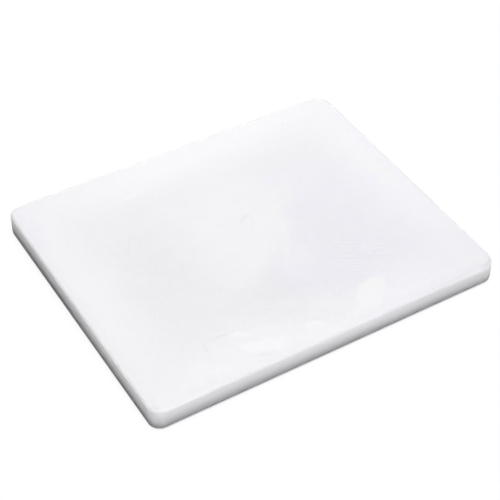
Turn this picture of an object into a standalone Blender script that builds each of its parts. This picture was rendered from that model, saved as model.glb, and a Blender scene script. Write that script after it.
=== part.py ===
"""Carving board: a solid slab of white polyethylene with rounded corners and eased rims.

The board lies flat, +Z up. X runs along its long side and Y along its short side.
The origin is the centre of the underside. Lengths are in metres.
"""

import math

import bpy

# The slab
BOARD_LENGTH = 0.325
BOARD_WIDTH = 0.265
BOARD_THICKNESS = 0.020

# The roundings: the plan corners are seen from above, and the rims run round both faces
CORNER_RADIUS = 0.011
RIM_RADIUS = 0.002

# How many facets each quarter round has
CORNER_FACETS = 14
RIM_FACETS = 4

# White high-density polyethylene, planed to a satin finish
PLASTIC_COLOUR = (0.87, 0.87, 0.88)
PLASTIC_ROUGHNESS = 0.42
PLASTIC_IOR = 1.54

# Edges that bend more sharply than this are rims. The facets of a plan corner bend less
RIM_ANGLE = math.radians(60)


def clear_scene():
    """Start from an empty scene."""
    for leftover in list(bpy.data.objects):
        bpy.data.objects.remove(leftover, do_unlink=True)


def make_collection(name):
    """Return a new collection, linked to the scene."""
    collection = bpy.data.collections.new(name)
    bpy.context.scene.collection.children.link(collection)
    return collection


def make_polyethylene():
    """Return the board's material: a pale, slightly cool white, with no metal in it."""
    material = bpy.data.materials.new("white_polyethylene")
    material.use_nodes = True
    shader = material.node_tree.nodes["Principled BSDF"]
    shader.inputs["Base Color"].default_value = (*PLASTIC_COLOUR, 1.0)
    shader.inputs["Roughness"].default_value = PLASTIC_ROUGHNESS
    shader.inputs["Metallic"].default_value = 0.0
    shader.inputs["IOR"].default_value = PLASTIC_IOR
    return material


def add_block(name, size, base_centre, collection):
    """Add a box of the given size, standing on base_centre, with its scale applied."""
    x, y, z = base_centre
    bpy.ops.mesh.primitive_cube_add(size=1.0, location=(x, y, z + size[2] / 2))
    block = bpy.context.object
    block.name = name
    block.data.name = name
    block.scale = size
    bpy.ops.object.transform_apply(location=False, rotation=False, scale=True)
    for owner in list(block.users_collection):
        owner.objects.unlink(block)
    collection.objects.link(block)
    return block


def weight_upright_edges(mesh):
    """Give the upright edges a bevel weight of 1, and every other edge 0."""
    weights = mesh.attributes.new("bevel_weight_edge", "FLOAT", "EDGE")
    for edge in mesh.edges:
        lower, upper = (mesh.vertices[index].co for index in edge.vertices)
        upright = lower.xy == upper.xy
        weights.data[edge.index].value = 1.0 if upright else 0.0


def round_plan_corners(block, radius, facets):
    """Round the block's upright edges, which are its corners seen from above."""
    weight_upright_edges(block.data)
    rounding = block.modifiers.new("plan_corners", "BEVEL")
    rounding.limit_method = "WEIGHT"
    rounding.width = radius
    rounding.segments = facets


def ease_rims(block, radius, facets):
    """Round the edge that runs round the top face, and the one round the underside."""
    easing = block.modifiers.new("eased_rims", "BEVEL")
    easing.limit_method = "ANGLE"
    easing.angle_limit = RIM_ANGLE
    easing.width = radius
    easing.segments = facets
    easing.harden_normals = True


def make_board():
    """Model the whole board, which is one piece of plastic."""
    collection = make_collection("carving_board")
    size = (BOARD_LENGTH, BOARD_WIDTH, BOARD_THICKNESS)
    slab = add_block("board_slab", size, (0.0, 0.0, 0.0), collection)
    slab.data.shade_smooth()
    slab.data.materials.append(make_polyethylene())
    round_plan_corners(slab, CORNER_RADIUS, CORNER_FACETS)
    ease_rims(slab, RIM_RADIUS, RIM_FACETS)


clear_scene()
make_board()
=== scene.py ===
"""Looks of the carving board: a slab of white polyethylene in a plain, pale studio.

Metres, +Z up. The origin is the centre of the underside. X runs along the long side and
Y along the short side, so the two sides that face the camera are at -X and -Y.
"""

import math
from collections import namedtuple

import bmesh
import bpy
from mathutils import Matrix, Vector, noise


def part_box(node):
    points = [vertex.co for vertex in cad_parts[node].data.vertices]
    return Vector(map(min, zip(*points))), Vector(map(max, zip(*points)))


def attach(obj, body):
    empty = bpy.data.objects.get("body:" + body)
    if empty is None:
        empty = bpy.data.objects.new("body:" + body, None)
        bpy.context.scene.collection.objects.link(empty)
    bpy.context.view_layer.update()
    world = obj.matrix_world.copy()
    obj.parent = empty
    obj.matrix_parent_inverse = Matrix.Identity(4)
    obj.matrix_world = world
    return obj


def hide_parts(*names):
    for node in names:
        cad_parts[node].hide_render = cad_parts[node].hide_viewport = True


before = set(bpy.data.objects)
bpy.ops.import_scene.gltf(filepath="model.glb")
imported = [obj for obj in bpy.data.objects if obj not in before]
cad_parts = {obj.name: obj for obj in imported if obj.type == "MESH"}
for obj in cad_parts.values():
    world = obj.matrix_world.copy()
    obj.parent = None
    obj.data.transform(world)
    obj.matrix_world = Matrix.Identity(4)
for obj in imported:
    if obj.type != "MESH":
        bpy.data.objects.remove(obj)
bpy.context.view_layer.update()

# The slab's corners come from the frame, and its roundings are the real board's
SLAB = "board_slab"
LOW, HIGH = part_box(SLAB)
SIZE = HIGH - LOW
CENTRE = (LOW + HIGH) / 2
CORNER_RADIUS = 0.011
RIM_RADIUS = 0.002
LOWER_RIM_RADIUS = 0.0026

# How finely the slab is modelled
CORNER_FACETS = 24
RIM_FACETS = 12
CELL = 0.004
FLAT_MARGIN = 0.0004    # a narrow band beside each rounding keeps the flats' shading flat

# How the slab's edges and faces are told apart while it is modelled
RIM_ANGLE = math.radians(60)    # once the plan corners are round, only the square rims fold more
LEVEL = 0.999           # a face whose normal is at least this upright is level
NEARLY_LEVEL = 0.99     # the planed faces' materials also cover the first facet of their rims
SAME_PLACE = 1e-6       # places nearer to each other than this are one
CUT_TOLERANCE = 1e-7

# The order of the slab's materials
TOP_FINISH = 0
UNDERSIDE_FINISH = 1
EDGE_FINISH = 2

# The upper rim is rounder at the corners, which are named as the camera sees them. Each has its
# direction from the middle, its own rim radius, and how far that reaches along its two sides
SoftCorner = namedtuple("SoftCorner", "along_x along_y radius reach_x reach_y")
SOFT_CORNERS = {
    "near": SoftCorner(-1, -1, 0.0022, 0.031, 0.031),
    "right": SoftCorner(1, -1, 0.0048, 0.106, 0.016),
    "left": SoftCorner(-1, 1, 0.0028, 0.035, 0.035),
    "far": SoftCorner(1, 1, 0.0028, 0.035, 0.035),
}

# The planed faces aren't dead flat: they sink softly, at most this deep, in swells of about
# this length, which fade away over this width towards the rims
SINK_DEPTH = 0.00012
SINK_LENGTH = 0.055
SINK_FADE = 0.012

# White polyethylene. The planed faces are a cool white, with a faint lilac cast on the right of
# the cutting face. The milled edges are a little warmer, most of all at the left, and take on the
# faces' cast near their upper rim. A violet grey at their foot is painted shade
FACE_COLOUR = (0.881, 0.880, 0.898)
LILAC_COLOUR = (0.872, 0.864, 0.918)
EDGE_COLOUR = (0.880, 0.871, 0.893)
FOOT_SHADE_COLOUR = (0.872, 0.853, 0.930)
LEFT_EDGE_COLOUR = (0.888, 0.863, 0.882)
PLASTIC_IOR = 1.54
SCATTER_DEPTH = 0.008

# Where the milled edges change: over these heights at their foot, on their shoulder and near
# their upper rim, and within these depths from the left side and the far side
FOOT_LOW = 0.003
FOOT_HIGH = 0.010
SHOULDER_LOW = 0.005
SHOULDER_HIGH = 0.015
UPPER_LOW = 0.015
UPPER_HIGH = 0.019
UPPER_CAST = 0.7        # how much of the faces' cast the upper rim takes on
LEFT_EDGE_DEPTH = 0.004
FAR_RIM_DEPTH = 0.004

# The cutting face carries painted sheen, lighter at its border than over its knife-cut middle, and
# painted shade just inside its rim
BRIGHT_BORDER_WIDTH = 0.008
BORDER_WIDTH = 0.062
SHADED_MIDDLE_LIGHTNESS = 0.952
RIM_SHADE_WIDTH = 0.015

# Patches painted over that one by one, in metres and degrees. Softness is a share of a patch's
# size, and rag is how far its outline strays. Lightness is against the bright border, and lilac is
# how far the cast goes. Where one of them is None or isn't given, what lies below shows. The
# lightness of the larger patches is painted sheen and shade; the speck, the spot, the scuffs and
# the scratches at the end are the board's own marks
PATCH_VALUES = "middle half_size turn softness rag lightness lilac"
Patch = namedtuple("Patch", PATCH_VALUES, defaults=(None, None))
PATCHES = {
    "left_shade": Patch((-0.078, 0.002), (0.050, 0.100), -10, 0.9, 0.03, 0.921),
    "front_shade": Patch((-0.012, -0.070), (0.094, 0.040), -12, 1.0, 0.03, 0.912),
    "near_middle": Patch((0.004, -0.108), (0.056, 0.026), 0, 0.9, 0.02, 0.952),
    "near_rim": Patch((0.000, -0.1325), (0.300, 0.018), 0, 0.8, 0.006, 0.975),
    "far_rim": Patch((-0.020, 0.1325), (0.150, 0.034), 0, 0.8, 0.010, 0.978),
    "right_shade": Patch((0.062, -0.034), (0.062, 0.100), -14, 1.0, 0.03, 0.922),
    "far_shade": Patch((0.060, 0.068), (0.045, 0.018), 0, 1.0, 0.02, 0.940),
    "right_cast": Patch((0.096, -0.034), (0.086, 0.104), -16, 0.4, 0.03, None, 1),
    "near_cast": Patch((0.105, -0.105), (0.066, 0.050), 0, 0.5, 0.03, None, 1),
    "front_cast": Patch((0.022, -0.066), (0.045, 0.034), -24, 0.45, 0.03, None, 1),
    "far_cast": Patch((0.070, 0.052), (0.042, 0.018), 16, 0.6, 0.02, None, 1),
    "oval_haze": Patch((-0.008, 0.016), (0.062, 0.082), -20, 1.0, 0.03, 0.964),
    "oval": Patch((0.004, 0.012), (0.046, 0.060), -22, 0.5, 0.025, 0.966, 0),
    "oval_far": Patch((0.032, 0.034), (0.024, 0.024), 0, 0.6, 0.015, 0.960, 0),
    "near_right_sheen": Patch((0.052, -0.106), (0.022, 0.013), 36, 0.4, 0.012, 1.0, 0),
    "near_small_sheen": Patch((-0.009, -0.115), (0.010, 0.006), -29, 0.4, 0.006, 1.0, 0),
    "near_long_sheen": Patch((-0.055, -0.114), (0.022, 0.009), -30, 0.4, 0.010, 1.012, 0),
    "near_thin_sheen": Patch((-0.066, -0.094), (0.010, 0.004), -30, 0.6, 0.005, 1.012, 0),
    "near_left_sheen": Patch((-0.102, -0.116), (0.022, 0.009), -24, 0.7, 0.012, 1.004, 0),
    "near_dark": Patch((-0.058, -0.124), (0.014, 0.003), -30, 0.7, 0.005, 0.955),
    "far_streak": Patch((-0.062, 0.097), (0.026, 0.005), 4, 0.9, 0.010, 0.990, 0),
    "right_sheen": Patch((0.147, 0.020), (0.012, 0.030), 0, 0.7, 0.02, 0.990, 0),
    "near_rim_cast": Patch((0.085, -0.1325), (0.090, 0.012), 0, 0.6, 0.004, None, 1),
    "right_rim_cast": Patch((0.1625, 0.000), (0.013, 0.160), 0, 0.4, 0.004, None, 1),
    "left_rim_cast": Patch((-0.1625, 0.000), (0.008, 0.160), 0, 0.6, 0.003, None, 0.4),
    "left_corner_cast": Patch((-0.160, 0.104), (0.020, 0.046), 0, 0.5, 0.010, None, 1),
    "near_corner_face_shade": Patch((-0.1593, -0.1293), (0.007, 0.007), 0, 0.6, 0.0, 0.930),
    "speck": Patch((0.106, 0.113), (0.003, 0.002), 40, 0.8, 0.001, 0.930, 0),
    "spot": Patch((-0.111, -0.084), (0.003, 0.002), 0, 0.9, 0.001, 0.940),
    "scuff": Patch((0.009, 0.0215), (0.010, 0.0024), 17, 0.9, 0.005, 0.908),
    "scuff_start": Patch((0.004, 0.0180), (0.004, 0.0018), 60, 0.9, 0.005, 0.925),
    "scratch": Patch((-0.080, -0.0885), (0.020, 0.0015), -9, 0.9, 0.004, 0.915),
    "scratch_end": Patch((-0.095, -0.094), (0.010, 0.0016), -83, 0.9, 0.004, 0.925),
}

# The same for the milled edges, where the patches are painted shade, and painted light where their
# lightness is above 1: the first patches keep to the shoulder, the second to the foot
EDGE_PATCHES = {
    "far_rim": Patch((0.000, 0.1325), (0.175, 0.012), 0, 0.5, 0.0, 0.950),
    "left_corner": Patch((-0.158, 0.130), (0.030, 0.018), 0, 0.7, 0.0, 0.920),
    "right_rim": Patch((0.115, -0.1325), (0.085, 0.020), 0, 0.8, 0.0, 0.945),
    "right_corner": Patch((0.159, -0.133), (0.018, 0.012), 0, 0.8, 0.0, 0.868),
    "near_corner": Patch((-0.159, -0.129), (0.016, 0.016), 0, 0.8, 0.0, 0.935),
    "left_side_light": Patch((-0.1625, -0.062), (0.010, 0.050), 0, 0.8, 0.0, 1.040),
}
FOOT_PATCHES = {
    "left_foot_shade": Patch((-0.1625, 0.050), (0.012, 0.078), 0, 0.8, 0.0, 0.710),
    "right_foot_light": Patch((0.158, -0.130), (0.030, 0.020), 0, 0.8, 0.0, 1.070),
}

# The parts of the cutting face that the ripples, the specks and the smudges keep to
RIPPLED = Patch((0.072, -0.073), (0.044, 0.030), -28, 0.6, 0.02)
SCUFFED = Patch((0.010, 0.014), (0.024, 0.036), -20, 0.6, 0.01)
SMUDGED = Patch((-0.010, -0.100), (0.135, 0.036), -4, 0.8, 0.02)

# How fine the patterns in the plastic are: a larger scale makes a finer pattern
CLOUD_SCALE = 18.0
EDGE_CLOUD_SCALE = 30.0
MOTTLE_SCALE = 260.0
FLECK_SCALE = 700.0
GRAIN_SCALE = 900.0
EDGE_GRAIN_SCALE = 1100.0
WANDER_SCALE = 45.0     # of the way in which the patches' outlines stray

# The ridges of a cutter: the path that they lie across, the distance from one to the next, and
# how far they stray. A path that slants across both sides keeps them upright on each
Ridges = namedtuple("Ridges", "path pitch stray")
RIPPLE_RIDGES = Ridges((0.48, 0.88, 0), 0.0042, 0.016)
PLANER_RIDGES = Ridges((1, 0, 0), 0.0032, 0.002)
ROUTER_RIDGES = Ridges((1, -1, 0), 0.0015, 0.002)
RIDGE_STRAY_SCALE = 60.0
RIDGE_DEPTH_SCALE = 40.0
RIDGE_DEPTH_RANGE = (0.35, 0.65)    # the noise over which the ridges go from nothing to full

# Knife scuffs, as a noise drawn out along the long side: its length, its spacing and its limit,
# which a scuff has to pass and which the amount lowers
SCUFF_LENGTH = 0.030
SCUFF_SPACING = 0.0012
SCUFF_LIMIT = 0.9
SCUFF_AMOUNT = 0.3
SCUFF_EDGE = 0.1
GATHERED_SCALE = 35.0
GATHERED_RANGE = (0.42, 0.62)       # the noise over which the scuffs go from none to all

# How far the knife scuffs are turned about the upright axis, in radians
SLANTING_CUTS = -1.01
CROSSING_CUTS = 0.3
UNDERSIDE_SCUFFS = 0.2

# What each effect does to a finish: to its lightness, its roughness and its height in metres
Strength = namedtuple("Strength", "lightness roughness height")
FACE_STRENGTHS = {
    "cloud": Strength(0.018, 0.02, 0),
    "mottle": Strength(0.024, 0, 4e-6),
    "fleck": Strength(0.024, 0, 0),
    "grain": Strength(0, 0.06, 3e-6),
    "smudges": Strength(0.014, 0, 0),
    "specks": Strength(0.070, 0, 1e-5),
    # the ripples are a faint relief, with painted reflection in their lightness
    "ripple": Strength(0.032, 0, 4e-6),
    "cuts": Strength(-0.024, 0.06, -6e-6),
    "wear_and_shade": Strength(0, 0.05, 0),
    # painted shade just inside the rim
    "rim_shade": Strength(-0.026, 0, 0),
}
UNDERSIDE_STRENGTHS = {
    "cloud": Strength(0.030, 0, 0),
    "mottle": Strength(0.018, 0, 0),
    "grain": Strength(0, 0.06, 3e-6),
    "ridge": Strength(0.006, 0, 1.5e-6),
    "scuffs": Strength(-0.040, 0.05, -5e-6),
    "rubbed": Strength(-0.020, -0.04, 0),
}
EDGE_STRENGTHS = {
    "cloud": Strength(0.012, 0.03, 0),
    "grain": Strength(0, 0.06, 3e-6),
    "ridge": Strength(0.002, 0, 1e-6),
    # painted shade just below the upper rim
    "upper": Strength(-0.030, 0, 0),
    # painted shade along the foot of the left side
    "left_foot_shade": Strength(-0.100, 0, 0),
    "worn": Strength(0, 0.30, 0),
}

# What the finishes start from, before the effects are added
UNDERSIDE_LIGHTNESS = 0.985
FACE_ROUGHNESS = 0.32
UNDERSIDE_ROUGHNESS = 0.38
EDGE_ROUGHNESS = 0.43

# The camera stands where the photograph was taken from
IMAGE_SIDE = 500
CAMERA_AZIMUTH = math.radians(-32.16)
CAMERA_ELEVATION = math.radians(43.57)
CAMERA_ROLL = math.radians(1.115)
CAMERA_DISTANCE = 1.1895
CAMERA_TARGET = Vector((0.00334, 0.00178, 0.0))
FOCAL_PIXELS = 1388.6
SENSOR_WIDTH = 36.0
NEAREST_SEEN = 0.01
FARTHEST_SEEN = 50.0

# The studio's floor
FLOOR_REACH = 6.0
FLOOR_GAP = 0.0003
SHADE_START = 0.010     # the floor beside the board lies in its shade, and throws no light back
SHADE_END = 0.030
FLOOR_BOUNCE = 1.28     # farther off it throws light back, and more on the right and in front
RIGHT_BOUNCE = 0.27
FRONT_BOUNCE = 0.28
RIGHT_REACH = 0.25
FLOOR_GLOW = 0.92       # the floor's white is mostly its own
FLOOR_SHADOW = 0.10     # the share of it that the lamps add, and the board's shadow takes away
CONTACT_REACH = 0.0002  # the painted contact shadow where the board meets the floor, under its rounding
CONTACT_DEPTH = 0.0010
FRONT_CONTACT = 0.60
LEFT_CONTACT = 0.28

# Softboxes that all point at the board: where each hangs, its side, and its power in watts
Softbox = namedtuple("Softbox", "place side power")
SOFTBOXES = {
    "overhead_softbox": Softbox((0.0, 0.0, 1.6), 0.9, 16.9),
    "back_softbox": Softbox((0.9, 1.4, 1.6), 0.9, 9.6),
    "low_back_softbox": Softbox((0.1, 1.0, 0.45), 0.6, 1.4),
    "front_softbox": Softbox((-0.1, -1.6, 0.9), 0.9, 9.3),
    "left_softbox": Softbox((-1.5, -0.1, 1.1), 0.9, 1.7),
}


def round_edges(bm, edges, radius, facets):
    """Round some of the mesh's edges."""
    bmesh.ops.bevel(
        bm, geom=edges, offset=radius, offset_type="OFFSET", affect="EDGES",
        segments=facets, profile=0.5, material=-1, clamp_overlap=True)


def rounded_block():
    """Return a bmesh of the slab: a cube with its upright edges and then both rims rounded."""
    bm = bmesh.new()
    bmesh.ops.create_cube(bm, size=1.0)
    bmesh.ops.scale(bm, vec=SIZE, verts=bm.verts)
    bmesh.ops.translate(bm, vec=CENTRE, verts=bm.verts)
    upright = [e for e in bm.edges if (e.verts[0].co - e.verts[1].co).xy.length < SAME_PLACE]
    round_edges(bm, upright, CORNER_RADIUS, CORNER_FACETS)
    for height, radius in ((HIGH.z, RIM_RADIUS), (LOW.z, LOWER_RIM_RADIUS)):
        rim = [
            e for e in bm.edges
            if e.calc_face_angle() > RIM_ANGLE and abs(e.verts[0].co.z - height) < SAME_PLACE]
        round_edges(bm, rim, radius, RIM_FACETS)
    return bm


def spaced_cuts(start, end):
    """Return evenly spaced places from one end of a flat stretch to the other."""
    count = round((end - start) / CELL)
    return [start + (end - start) * step / count for step in range(count + 1)]


def cut_across(bm, point, normal):
    """Cut the whole mesh along a plane, keeping both sides."""
    everything = bm.verts[:] + bm.edges[:] + bm.faces[:]
    bmesh.ops.bisect_plane(
        bm, geom=everything, dist=CUT_TOLERANCE, plane_co=point, plane_no=normal)


def cut_into_cells(bm):
    """Cut the slab into small cells, with a narrow band beside every rounding."""
    flats = [f for f in bm.faces if abs(f.normal.z) > LEVEL]
    bmesh.ops.inset_region(bm, faces=flats, thickness=FLAT_MARGIN, use_even_offset=True)
    stretches = (
        (LOW.x + CORNER_RADIUS, HIGH.x - CORNER_RADIUS),
        (LOW.y + CORNER_RADIUS, HIGH.y - CORNER_RADIUS),
        (LOW.z + LOWER_RIM_RADIUS, HIGH.z - RIM_RADIUS))
    for axis, (start, end) in enumerate(stretches):
        normal = Vector((0, 0, 0))
        normal[axis] = 1
        for place in spaced_cuts(start + FLAT_MARGIN, end - FLAT_MARGIN):
            cut_across(bm, normal * place, normal)


def eased(share):
    """Return a share from 0 to 1 that starts and ends gently."""
    return share * share * (3 - 2 * share)


def rim_radius_at(outline):
    """Return the upper rim's radius at a place on the outline, given from the slab's middle."""
    radius = RIM_RADIUS
    for corner in SOFT_CORNERS.values():
        away_x = (SIZE.x / 2 - corner.along_x * outline.x) / corner.reach_x
        away_y = (SIZE.y / 2 - corner.along_y * outline.y) / corner.reach_y
        share = max(0.0, 1.0 - math.hypot(away_x, away_y))
        radius += (corner.radius - RIM_RADIUS) * eased(share)
    return radius


def stretched(distance, radius, limit):
    """Move a place on the rim's profile to where it lies once the rim is this round."""
    if distance < RIM_RADIUS:
        return distance * radius / RIM_RADIUS
    return radius + (distance - RIM_RADIUS) * (limit - radius) / (limit - RIM_RADIUS)


def soften_corners(bm):
    """Make the upper rim rounder towards the corners, inside the same outline and height."""
    straight = Vector((SIZE.x / 2 - CORNER_RADIUS, SIZE.y / 2 - CORNER_RADIUS))
    for vert in bm.verts:
        place = vert.co - CENTRE
        out_x = math.copysign(max(0.0, abs(place.x) - straight.x), place.x)
        out_y = math.copysign(max(0.0, abs(place.y) - straight.y), place.y)
        outward = Vector((out_x, out_y, 0))
        depth = SIZE.z / 2 - place.z
        if outward.length > 0 and depth < SIZE.z / 2:
            inset = max(0.0, CORNER_RADIUS - outward.length)
            radius = rim_radius_at(place + outward.normalized() * inset)
            moved = inset - stretched(inset, radius, CORNER_RADIUS)
            vert.co += outward.normalized() * moved
            vert.co.z = HIGH.z - stretched(depth, radius, SIZE.z / 2)


def sink_faces(bm):
    """Let the two planed faces sink softly inwards, fading to nothing at their rims."""
    for vert in bm.verts:
        from_middle = vert.co - CENTRE
        inset = min(SIZE.x / 2 - abs(from_middle.x), SIZE.y / 2 - abs(from_middle.y))
        fade = min(1.0, max(0.0, (inset - LOWER_RIM_RADIUS) / SINK_FADE))
        swell = noise.noise(vert.co / SINK_LENGTH) * 0.5 + 0.5
        sink = SINK_DEPTH * swell * eased(fade)
        if fade > 0 and abs(from_middle.z) > SIZE.z / 2 - SAME_PLACE:
            vert.co.z -= math.copysign(sink, from_middle.z)


def finish_faces(bm):
    """Shade every face smoothly, in the material of the top, the underside or the edges."""
    for face in bm.faces:
        face.smooth = True
        flat = abs(face.normal.z) > NEARLY_LEVEL
        if flat and face.calc_center_median().z > CENTRE.z:
            face.material_index = TOP_FINISH
        elif flat:
            face.material_index = UNDERSIDE_FINISH
        else:
            face.material_index = EDGE_FINISH


def make_slab():
    """Model the slab: a rounded block, cut into cells, with soft corners and sunken faces."""
    bm = rounded_block()
    cut_into_cells(bm)
    soften_corners(bm)
    sink_faces(bm)
    bmesh.ops.recalc_face_normals(bm, faces=bm.faces)
    finish_faces(bm)
    mesh = bpy.data.meshes.new("cutting_slab")
    bm.to_mesh(mesh)
    bm.free()
    slab = bpy.data.objects.new("cutting_slab", mesh)
    bpy.context.scene.collection.objects.link(slab)
    return slab


def add_node(tree, kind, **settings):
    """Add a node to a tree, with its own settings such as an operation."""
    node = tree.nodes.new(kind)
    for name, value in settings.items():
        setattr(node, name, value)
    return node


def feed(tree, socket, value):
    """Link another node's output to a socket, or set the socket to a plain value."""
    if isinstance(value, bpy.types.NodeSocket):
        tree.links.new(value, socket)
    else:
        socket.default_value = value


def calculate(tree, operation, *values):
    """Return the result of a Math node."""
    node = add_node(tree, "ShaderNodeMath", operation=operation)
    for socket, value in zip(node.inputs, values):
        feed(tree, socket, value)
    return node.outputs["Value"]


def calculate_vector(tree, operation, *values, result="Vector"):
    """Return the result of a Vector Math node."""
    node = add_node(tree, "ShaderNodeVectorMath", operation=operation)
    for socket, value in zip(node.inputs, values):
        feed(tree, socket, value)
    return node.outputs[result]


def separate(tree, vector):
    """Return the X, Y and Z of a vector."""
    node = add_node(tree, "ShaderNodeSeparateXYZ")
    feed(tree, node.inputs["Vector"], vector)
    return node.outputs


def scale_vector(tree, vector, factor):
    """Return a vector, or a colour, made longer by a factor."""
    node = add_node(tree, "ShaderNodeVectorMath", operation="SCALE")
    feed(tree, node.inputs["Vector"], vector)
    feed(tree, node.inputs["Scale"], factor)
    return node.outputs["Vector"]


def turn_vector(tree, vector, angle):
    """Return a vector turned about the upright axis."""
    node = add_node(tree, "ShaderNodeVectorRotate", rotation_type="Z_AXIS")
    feed(tree, node.inputs["Vector"], vector)
    feed(tree, node.inputs["Angle"], angle)
    return node.outputs["Vector"]


def ramp(tree, value, start, end, low=0.0, high=1.0):
    """Return a smooth change from low to high while a value goes from start to end."""
    node = add_node(tree, "ShaderNodeMapRange", interpolation_type="SMOOTHSTEP")
    feed(tree, node.inputs["Value"], value)
    feed(tree, node.inputs["From Min"], start)
    feed(tree, node.inputs["From Max"], end)
    feed(tree, node.inputs["To Min"], low)
    feed(tree, node.inputs["To Max"], high)
    return node.outputs["Result"]


def noise_node(tree, position, scale, detail=2.0):
    """Return the outputs of a Noise node. Both its value and its colour lie between 0 and 1."""
    node = add_node(tree, "ShaderNodeTexNoise")
    feed(tree, node.inputs["Vector"], position)
    feed(tree, node.inputs["Scale"], scale)
    node.inputs["Detail"].default_value = detail
    return node.outputs


def paint(tree, below, above, mask):
    """Return a value that goes from one to another where a mask covers the surface."""
    node = add_node(tree, "ShaderNodeMix", data_type="FLOAT")
    feed(tree, node.inputs["Factor"], mask)
    feed(tree, node.inputs["A"], below)
    feed(tree, node.inputs["B"], above)
    return node.outputs["Result"]


def mixed_colour(tree, plain, cast, share):
    """Return a colour between two. Each is a node's output, or plain red, green and blue."""
    mixed = add_node(tree, "ShaderNodeMix", data_type="RGBA")
    feed(tree, mixed.inputs["Factor"], share)
    for socket, colour in zip(("A", "B"), (plain, cast)):
        whole = (*colour, 1) if isinstance(colour, tuple) else colour
        feed(tree, mixed.inputs[socket], whole)
    return mixed.outputs["Result"]


def start_group(name, inputs, outputs):
    """Start a node group. Each input has a name, a socket kind and a starting value."""
    group = bpy.data.node_groups.new(name, "ShaderNodeTree")
    for label, kind, value in inputs:
        socket = group.interface.new_socket(label, in_out="INPUT", socket_type="NodeSocket" + kind)
        socket.default_value = value
    for label in outputs:
        group.interface.new_socket(label, in_out="OUTPUT", socket_type="NodeSocketFloat")
    entry = add_node(group, "NodeGroupInput")
    leave = add_node(group, "NodeGroupOutput")
    return group, entry.outputs, leave.inputs


def place_group(tree, group, result, **values):
    """Place a node group in a material and return one of its outputs."""
    node = add_node(tree, "ShaderNodeGroup", node_tree=group)
    for name, value in values.items():
        feed(tree, node.inputs[name.replace("_", " ").capitalize()], value)
    return node.outputs[result]


def outline_inset_group():
    """Make the group that tells how far a point lies inside the slab's rounded outline."""
    group, given, result = start_group(
        "outline_inset",
        [("Position", "Vector", (0, 0, 0))],
        ["Inset"])
    straight = (SIZE.x / 2 - CORNER_RADIUS, SIZE.y / 2 - CORNER_RADIUS, 1.0)
    folded = calculate_vector(group, "ABSOLUTE", given["Position"])
    past = calculate_vector(group, "SUBTRACT", folded, straight)
    beyond = calculate_vector(group, "MAXIMUM", past, (0, 0, 0))
    outside = calculate_vector(group, "LENGTH", beyond, result="Value")
    parts = separate(group, past)
    nearest = calculate(group, "MAXIMUM", parts["X"], parts["Y"])
    inside = calculate(group, "MINIMUM", nearest, 0.0)
    signed = calculate(group, "ADD", outside, inside)
    feed(group, result["Inset"], calculate(group, "SUBTRACT", CORNER_RADIUS, signed))
    return group


def soft_patch_group():
    """Make the group that masks one oval patch, with a soft or ragged outline."""
    group, given, result = start_group(
        "soft_patch",
        [
            ("Position", "Vector", (0, 0, 0)),
            ("Wander", "Vector", (0, 0, 0)),
            ("Rag", "Float", 0.0),
            ("Middle", "Vector", (0, 0, 0)),
            ("Half size", "Vector", (1, 1, 1)),
            ("Turn", "Float", 0.0),
            ("Softness", "Float", 1.0),
        ],
        ["Mask"])
    stray = scale_vector(group, given["Wander"], given["Rag"])
    strayed = calculate_vector(group, "ADD", given["Position"], stray)
    offset = calculate_vector(group, "SUBTRACT", strayed, given["Middle"])
    level = calculate_vector(group, "MULTIPLY", offset, (1, 1, 0))
    turned = turn_vector(group, level, calculate(group, "MULTIPLY", given["Turn"], -1.0))
    unit = calculate_vector(group, "DIVIDE", turned, given["Half size"])
    distance = calculate_vector(group, "LENGTH", unit, result="Value")
    full = calculate(group, "SUBTRACT", 1.0, given["Softness"])
    feed(group, result["Mask"], ramp(group, distance, 1.0, full))
    return group


def milky_cloud_group():
    """Make the group of faint clouds in the plastic, or of finer mottles on it, from -1 to 1."""
    group, given, result = start_group(
        "milky_cloud",
        [("Position", "Vector", (0, 0, 0)), ("Scale", "Float", CLOUD_SCALE)],
        ["Cloud"])
    cloud = noise_node(group, given["Position"], given["Scale"], detail=4.0)["Fac"]
    feed(group, result["Cloud"], calculate(group, "MULTIPLY_ADD", cloud, 2.0, -1.0))
    return group


def satin_grain_group():
    """Make the group of the fine, even grain that gives the plastic its satin look, from 0 to 1."""
    group, given, result = start_group(
        "satin_grain",
        [("Position", "Vector", (0, 0, 0)), ("Scale", "Float", GRAIN_SCALE)],
        ["Grain"])
    feed(group, result["Grain"], noise_node(group, given["Position"], given["Scale"])["Fac"])
    return group


def cutter_marks_group():
    """Make the group of the ridges that a planer or a router leaves across its path, -1 to 1."""
    group, given, result = start_group(
        "cutter_marks",
        [
            ("Position", "Vector", (0, 0, 0)),
            ("Path", "Vector", PLANER_RIDGES.path),
            ("Pitch", "Float", PLANER_RIDGES.pitch),
            ("Stray", "Float", PLANER_RIDGES.stray),
        ],
        ["Ridge"])
    run = calculate_vector(group, "DOT_PRODUCT", given["Position"], given["Path"], result="Value")
    drift = noise_node(group, given["Position"], RIDGE_STRAY_SCALE)["Fac"]
    strayed = calculate(group, "MULTIPLY_ADD", drift, given["Stray"], run)
    turns = calculate(group, "DIVIDE", strayed, given["Pitch"])
    wave = calculate(group, "SINE", calculate(group, "MULTIPLY", turns, 2 * math.pi))
    patchy = noise_node(group, given["Position"], RIDGE_DEPTH_SCALE)["Fac"]
    depth = ramp(group, patchy, *RIDGE_DEPTH_RANGE)
    feed(group, result["Ridge"], calculate(group, "MULTIPLY", wave, depth))
    return group


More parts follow.
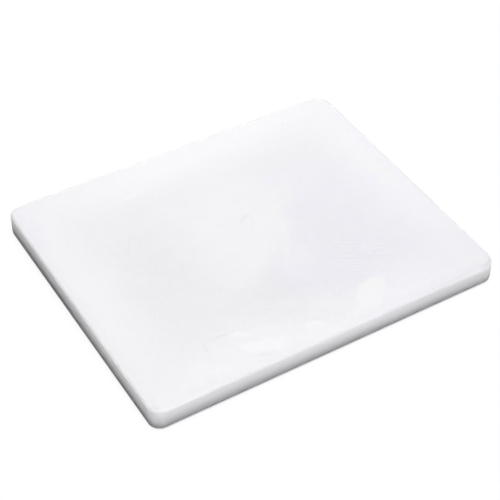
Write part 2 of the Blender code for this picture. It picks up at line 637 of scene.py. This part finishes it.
def knife_scuffs_group():
    """Make the group that masks short, fine scratches, gathered in places, which run one way."""
    group, given, result = start_group(
        "knife_scuffs",
        [
            ("Position", "Vector", (0, 0, 0)),
            ("Turn", "Float", 0.0),
            ("Length", "Float", SCUFF_LENGTH),
            ("Spacing", "Float", SCUFF_SPACING),
            ("Amount", "Float", SCUFF_AMOUNT),
        ],
        ["Scuffs"])
    turned = turn_vector(group, given["Position"], given["Turn"])
    cell = add_node(group, "ShaderNodeCombineXYZ")
    feed(group, cell.inputs["X"], given["Length"])
    feed(group, cell.inputs["Y"], given["Spacing"])
    feed(group, cell.inputs["Z"], given["Length"])
    drawn = calculate_vector(group, "DIVIDE", turned, cell.outputs["Vector"])
    lines = noise_node(group, drawn, 1.0, detail=1.0)["Fac"]
    limit = calculate(group, "SUBTRACT", SCUFF_LIMIT, given["Amount"])
    sharp = ramp(group, lines, limit, calculate(group, "ADD", limit, SCUFF_EDGE))
    patchy = noise_node(group, given["Position"], GATHERED_SCALE)["Fac"]
    gathered = ramp(group, patchy, *GATHERED_RANGE)
    feed(group, result["Scuffs"], calculate(group, "MULTIPLY", sharp, gathered))
    return group


def start_plastic(name):
    """Start a polyethylene material: its tree, its shader and the place on the slab."""
    material = bpy.data.materials.new(name)
    material.use_nodes = True
    tree = material.node_tree
    shader = tree.nodes["Principled BSDF"]
    shader.inputs["IOR"].default_value = PLASTIC_IOR
    shader.inputs["Subsurface Weight"].default_value = 1.0
    shader.inputs["Subsurface Radius"].default_value = (1.0, 1.0, 1.0)
    shader.inputs["Subsurface Scale"].default_value = SCATTER_DEPTH
    place = add_node(tree, "ShaderNodeTexCoord").outputs["Object"]
    return material, tree, shader, place


def add_effects(tree, start, effects, strengths, quality):
    """Add to a value what the effects do to one quality of a finish, such as its roughness."""
    result = start
    for name, strength in strengths.items():
        weight = getattr(strength, quality)
        if weight != 0:
            result = calculate(tree, "MULTIPLY_ADD", effects[name], weight, result)
    return result


def finish_plastic(tree, shader, colour, roughness, effects, strengths):
    """Give a plastic its colour, and its roughness and relief with the effects on them."""
    feed(tree, shader.inputs["Base Color"], colour)
    whole = add_effects(tree, roughness, effects, strengths, "roughness")
    feed(tree, shader.inputs["Roughness"], whole)
    bump = add_node(tree, "ShaderNodeBump")
    bump.inputs["Distance"].default_value = 1.0
    feed(tree, bump.inputs["Height"], add_effects(tree, 0.0, effects, strengths, "height"))
    feed(tree, shader.inputs["Normal"], bump.outputs["Normal"])


def clouds(tree, groups, place, scale):
    """Return the milky clouds of one scale."""
    return place_group(tree, groups["milky_cloud"], "Cloud", position=place, scale=scale)


def grain(tree, groups, place, scale):
    """Return the satin grain of one scale."""
    return place_group(tree, groups["satin_grain"], "Grain", position=place, scale=scale)


def cutter_ridges(tree, groups, place, ridges):
    """Return the ridges that one cutter left."""
    return place_group(
        tree, groups["cutter_marks"], "Ridge", position=place, path=ridges.path,
        pitch=ridges.pitch, stray=ridges.stray)


def knife_scuffs(tree, groups, place, turn):
    """Return the scuffs that run one way."""
    return place_group(tree, groups["knife_scuffs"], "Scuffs", position=place, turn=turn)


def rim_mask(tree, groups, place, width):
    """Return a mask that is full at the slab's rim and ends this far inside it."""
    inset = place_group(tree, groups["outline_inset"], "Inset", position=place)
    return ramp(tree, inset, width, RIM_RADIUS)


def outline_wander(tree, place):
    """Return which way the patches' outlines stray at each place, from -1 to 1 each way."""
    colour = noise_node(tree, place, WANDER_SCALE, detail=5.0)["Color"]
    centred = calculate_vector(tree, "SUBTRACT", colour, (0.5, 0.5, 0.5))
    return scale_vector(tree, centred, 2.0)


def patch_mask(tree, groups, place, wander, patch):
    """Return the mask of one patch."""
    return place_group(
        tree, groups["soft_patch"], "Mask", position=place, wander=wander, rag=patch.rag,
        middle=(*patch.middle, 0), half_size=(*patch.half_size, 1),
        turn=math.radians(patch.turn), softness=patch.softness)


def kept_to(tree, groups, place, wander, effect, patch):
    """Return an effect where a patch covers the surface, and nothing elsewhere."""
    mask = patch_mask(tree, groups, place, wander, patch)
    return calculate(tree, "MULTIPLY", effect, mask)


def middle_wear_and_shade(tree, place):
    """Return the face's wear and painted shade: 0 at its border and 1 over its middle."""
    parts = separate(tree, calculate_vector(tree, "ABSOLUTE", place))
    across = ramp(tree, parts["X"], HIGH.x - BRIGHT_BORDER_WIDTH, HIGH.x - BORDER_WIDTH)
    along = ramp(tree, parts["Y"], HIGH.y - BRIGHT_BORDER_WIDTH, HIGH.y - BORDER_WIDTH)
    return calculate(tree, "MULTIPLY", across, along)


def knife_cuts(tree, groups, place, wear_and_shade):
    """Return the cuts of the knife, which run two ways over the face's middle."""
    slanting = knife_scuffs(tree, groups, place, SLANTING_CUTS)
    crossing = knife_scuffs(tree, groups, place, CROSSING_CUTS)
    return calculate(tree, "MULTIPLY", calculate(tree, "MAXIMUM", slanting, crossing), wear_and_shade)


def face_effects(tree, groups, place, wander, wear_and_shade):
    """Return what marks the cutting face, by name."""
    mottle = clouds(tree, groups, place, MOTTLE_SCALE)
    fleck = clouds(tree, groups, place, FLECK_SCALE)
    ridge = cutter_ridges(tree, groups, place, RIPPLE_RIDGES)
    return {
        "cloud": clouds(tree, groups, place, CLOUD_SCALE),
        "mottle": mottle,
        "fleck": fleck,
        "grain": grain(tree, groups, place, GRAIN_SCALE),
        "smudges": kept_to(tree, groups, place, wander, mottle, SMUDGED),
        "specks": kept_to(tree, groups, place, wander, fleck, SCUFFED),
        "ripple": kept_to(tree, groups, place, wander, ridge, RIPPLED),
        "cuts": knife_cuts(tree, groups, place, wear_and_shade),
        "wear_and_shade": wear_and_shade,
        # painted shade just inside the rim
        "rim_shade": rim_mask(tree, groups, place, RIM_SHADE_WIDTH),
    }


def painted_face(tree, groups, place, wander, wear_and_shade):
    """Return the face's painted sheen and shade, and how far its cast goes, patch over patch."""
    # painted sheen: lighter at the border, greyer over the middle
    lightness = paint(tree, 1.0, SHADED_MIDDLE_LIGHTNESS, wear_and_shade)
    lilac = 0.0
    for patch in PATCHES.values():
        mask = patch_mask(tree, groups, place, wander, patch)
        if patch.lightness is not None:
            lightness = paint(tree, lightness, patch.lightness, mask)
        if patch.lilac is not None:
            lilac = paint(tree, lilac, patch.lilac, mask)
    return lightness, lilac


def worked_face(groups):
    """Make the cutting face's material: planed, knife-cut, with painted sheen and shade."""
    material, tree, shader, place = start_plastic("worked_face")
    wander = outline_wander(tree, place)
    wear_and_shade = middle_wear_and_shade(tree, place)
    effects = face_effects(tree, groups, place, wander, wear_and_shade)
    painted, lilac = painted_face(tree, groups, place, wander, wear_and_shade)
    lightness = add_effects(tree, painted, effects, FACE_STRENGTHS, "lightness")
    tint = mixed_colour(tree, FACE_COLOUR, LILAC_COLOUR, lilac)
    colour = scale_vector(tree, tint, lightness)
    finish_plastic(tree, shader, colour, FACE_ROUGHNESS, effects, FACE_STRENGTHS)
    return material


def planed_underside(groups):
    """Make the underside's material: planed like the top, with the planer's own ridges left on."""
    material, tree, shader, place = start_plastic("planed_underside")
    effects = {
        "cloud": clouds(tree, groups, place, CLOUD_SCALE),
        "mottle": clouds(tree, groups, place, MOTTLE_SCALE),
        "grain": grain(tree, groups, place, GRAIN_SCALE),
        "ridge": cutter_ridges(tree, groups, place, PLANER_RIDGES),
        "scuffs": knife_scuffs(tree, groups, place, UNDERSIDE_SCUFFS),
        "rubbed": rim_mask(tree, groups, place, BORDER_WIDTH),
    }
    lightness = add_effects(tree, UNDERSIDE_LIGHTNESS, effects, UNDERSIDE_STRENGTHS, "lightness")
    colour = scale_vector(tree, FACE_COLOUR, lightness)
    finish_plastic(tree, shader, colour, UNDERSIDE_ROUGHNESS, effects, UNDERSIDE_STRENGTHS)
    return material


def painted_edge(tree, groups, place, lightness, foot):
    """Return the edges' lightness with the patches' painted shade and light over it."""
    wander = outline_wander(tree, place)
    shoulder = ramp(tree, separate(tree, place)["Z"], SHOULDER_LOW, SHOULDER_HIGH)
    for patches, part in ((EDGE_PATCHES, shoulder), (FOOT_PATCHES, foot)):
        for patch in patches.values():
            covered = kept_to(tree, groups, place, wander, part, patch)
            lightness = paint(tree, lightness, patch.lightness, covered)
    return lightness


def edge_tint(tree, foot, left, upper):
    """Return the edges' colour: painted violet shade at the foot, warmer left, lilac near the rim.
    """
    lower_half = mixed_colour(tree, EDGE_COLOUR, FOOT_SHADE_COLOUR, foot)
    sides = mixed_colour(tree, lower_half, LEFT_EDGE_COLOUR, left)
    return mixed_colour(tree, sides, LILAC_COLOUR, upper)


def milled_edge(groups):
    """Make the material of the sides and rims: milled upright, and worn dull at the far rim."""
    material, tree, shader, place = start_plastic("milled_edge")
    parts = separate(tree, place)
    foot = ramp(tree, parts["Z"], FOOT_HIGH, FOOT_LOW)
    upper = ramp(tree, parts["Z"], UPPER_LOW, UPPER_HIGH, 0.0, UPPER_CAST)
    left = ramp(tree, parts["X"], LOW.x + LEFT_EDGE_DEPTH, LOW.x)
    effects = {
        "cloud": clouds(tree, groups, place, EDGE_CLOUD_SCALE),
        "grain": grain(tree, groups, place, EDGE_GRAIN_SCALE),
        "ridge": cutter_ridges(tree, groups, place, ROUTER_RIDGES),
        # painted shade just below the upper rim
        "upper": upper,
        # painted shade along the foot of the left side
        "left_foot_shade": calculate(tree, "MULTIPLY", left, foot),
        "worn": ramp(tree, parts["Y"], HIGH.y - FAR_RIM_DEPTH, HIGH.y),
    }
    lightness = add_effects(tree, 1.0, effects, EDGE_STRENGTHS, "lightness")
    lightness = painted_edge(tree, groups, place, lightness, foot)
    colour = scale_vector(tree, edge_tint(tree, foot, left, upper), lightness)
    finish_plastic(tree, shader, colour, EDGE_ROUGHNESS, effects, EDGE_STRENGTHS)
    return material


def background_mask(tree):
    """Return 1 for the rays that see the background: camera, glossy and transmission rays."""
    path = add_node(tree, "ShaderNodeLightPath").outputs
    either = calculate(tree, "MAXIMUM", path["Is Camera Ray"], path["Is Glossy Ray"])
    return calculate(tree, "MAXIMUM", either, path["Is Transmission Ray"])


def floor_bounce(tree, parts, open_floor):
    """Return the light that the open floor throws back at the board."""
    right = ramp(tree, parts["X"], -RIGHT_REACH, RIGHT_REACH)
    front = ramp(tree, parts["Y"], HIGH.y, LOW.y)
    brightness = calculate(tree, "MULTIPLY_ADD", right, RIGHT_BOUNCE, FLOOR_BOUNCE)
    brightness = calculate(tree, "MULTIPLY_ADD", front, FRONT_BOUNCE, brightness)
    bounce = add_node(tree, "ShaderNodeEmission")
    feed(tree, bounce.inputs["Strength"], calculate(tree, "MULTIPLY", open_floor, brightness))
    return bounce.outputs["Emission"]


def visible_floor(tree, parts, inset, open_floor):
    """Return the seen floor: white, with a painted contact shadow under the board's foot."""
    line = ramp(tree, parts["X"], LOW.x, LOW.x + CORNER_RADIUS, LEFT_CONTACT, FRONT_CONTACT)
    contact_shadow = ramp(tree, inset, -CONTACT_REACH, CONTACT_DEPTH, 1.0, line)
    # The board's gloss shows the floor's shade in place of that line
    glossy = add_node(tree, "ShaderNodeLightPath").outputs["Is Glossy Ray"]
    shaded = paint(tree, contact_shadow, open_floor, glossy)
    glow = add_node(tree, "ShaderNodeEmission")
    feed(tree, glow.inputs["Strength"], calculate(tree, "MULTIPLY", shaded, FLOOR_GLOW))
    lit = add_node(tree, "ShaderNodeBsdfDiffuse")
    lit.inputs["Color"].default_value = (FLOOR_SHADOW, FLOOR_SHADOW, FLOOR_SHADOW, 1)
    seen = add_node(tree, "ShaderNodeAddShader")
    feed(tree, seen.inputs[0], lit.outputs["BSDF"])
    feed(tree, seen.inputs[1], glow.outputs["Emission"])
    return seen.outputs["Shader"]


def pale_floor(groups):
    """Make the floor's material: white to the camera, and shaded close to the board."""
    material = bpy.data.materials.new("pale_floor")
    material.use_nodes = True
    tree = material.node_tree
    tree.nodes.clear()
    place = add_node(tree, "ShaderNodeTexCoord").outputs["Object"]
    parts = separate(tree, place)
    inset = place_group(tree, groups["outline_inset"], "Inset", position=place)
    open_floor = ramp(tree, inset, -SHADE_START, -SHADE_END)
    choose = add_node(tree, "ShaderNodeMixShader")
    feed(tree, choose.inputs["Fac"], background_mask(tree))
    feed(tree, choose.inputs[1], floor_bounce(tree, parts, open_floor))
    feed(tree, choose.inputs[2], visible_floor(tree, parts, inset, open_floor))
    out = add_node(tree, "ShaderNodeOutputMaterial")
    feed(tree, out.inputs["Surface"], choose.outputs["Shader"])
    return material


def lay_floor(material):
    """Lay the floor just under the board."""
    bm = bmesh.new()
    bmesh.ops.create_grid(bm, x_segments=1, y_segments=1, size=FLOOR_REACH)
    bmesh.ops.translate(bm, vec=(0, 0, LOW.z - FLOOR_GAP), verts=bm.verts)
    mesh = bpy.data.meshes.new("floor")
    bm.to_mesh(mesh)
    bm.free()
    mesh.materials.append(material)
    floor = bpy.data.objects.new("floor", mesh)
    bpy.context.scene.collection.objects.link(floor)


def white_world():
    """Show a white world behind the floor, which throws no light of its own on the board."""
    world = bpy.data.worlds.new("studio")
    world.use_nodes = True
    tree = world.node_tree
    tree.nodes.clear()
    white = add_node(tree, "ShaderNodeBackground")
    white.inputs["Color"].default_value = (1, 1, 1, 1)
    feed(tree, white.inputs["Strength"], background_mask(tree))
    out = add_node(tree, "ShaderNodeOutputWorld")
    feed(tree, out.inputs["Surface"], white.outputs["Background"])
    bpy.context.scene.world = world


def hang_softboxes():
    """Hang the square softboxes, each aimed at the board."""
    for name, softbox in SOFTBOXES.items():
        light = bpy.data.lights.new(name, "AREA")
        light.shape = "SQUARE"
        light.size = softbox.side
        light.energy = softbox.power
        lamp = bpy.data.objects.new(name, light)
        bpy.context.scene.collection.objects.link(lamp)
        lamp.location = softbox.place
        lamp.rotation_euler = (-Vector(softbox.place)).to_track_quat("-Z", "Y").to_euler()


def place_camera():
    """Place the camera where the photograph was taken from."""
    data = bpy.data.cameras.new("camera")
    data.sensor_width = SENSOR_WIDTH
    data.lens = FOCAL_PIXELS * SENSOR_WIDTH / IMAGE_SIDE
    data.clip_start = NEAREST_SEEN
    data.clip_end = FARTHEST_SEEN
    camera = bpy.data.objects.new("camera", data)
    bpy.context.scene.collection.objects.link(camera)
    turn = (
        Matrix.Rotation(CAMERA_AZIMUTH, 4, "Z")
        @ Matrix.Rotation(math.pi / 2 - CAMERA_ELEVATION, 4, "X")
        @ Matrix.Rotation(CAMERA_ROLL, 4, "Z"))
    back = turn.to_3x3() @ Vector((0, 0, 1))
    camera.matrix_world = Matrix.Translation(CAMERA_TARGET + back * CAMERA_DISTANCE) @ turn
    bpy.context.scene.camera = camera


shared = {
    "outline_inset": outline_inset_group(),
    "soft_patch": soft_patch_group(),
    "milky_cloud": milky_cloud_group(),
    "satin_grain": satin_grain_group(),
    "cutter_marks": cutter_marks_group(),
    "knife_scuffs": knife_scuffs_group(),
}
slab = make_slab()
slab.data.materials.append(worked_face(shared))
slab.data.materials.append(planed_underside(shared))
slab.data.materials.append(milled_edge(shared))
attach(slab, "root")
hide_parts(SLAB)
lay_floor(pale_floor(shared))
white_world()
hang_softboxes()
place_camera()
bpy.context.scene.view_settings.view_transform = "Standard"
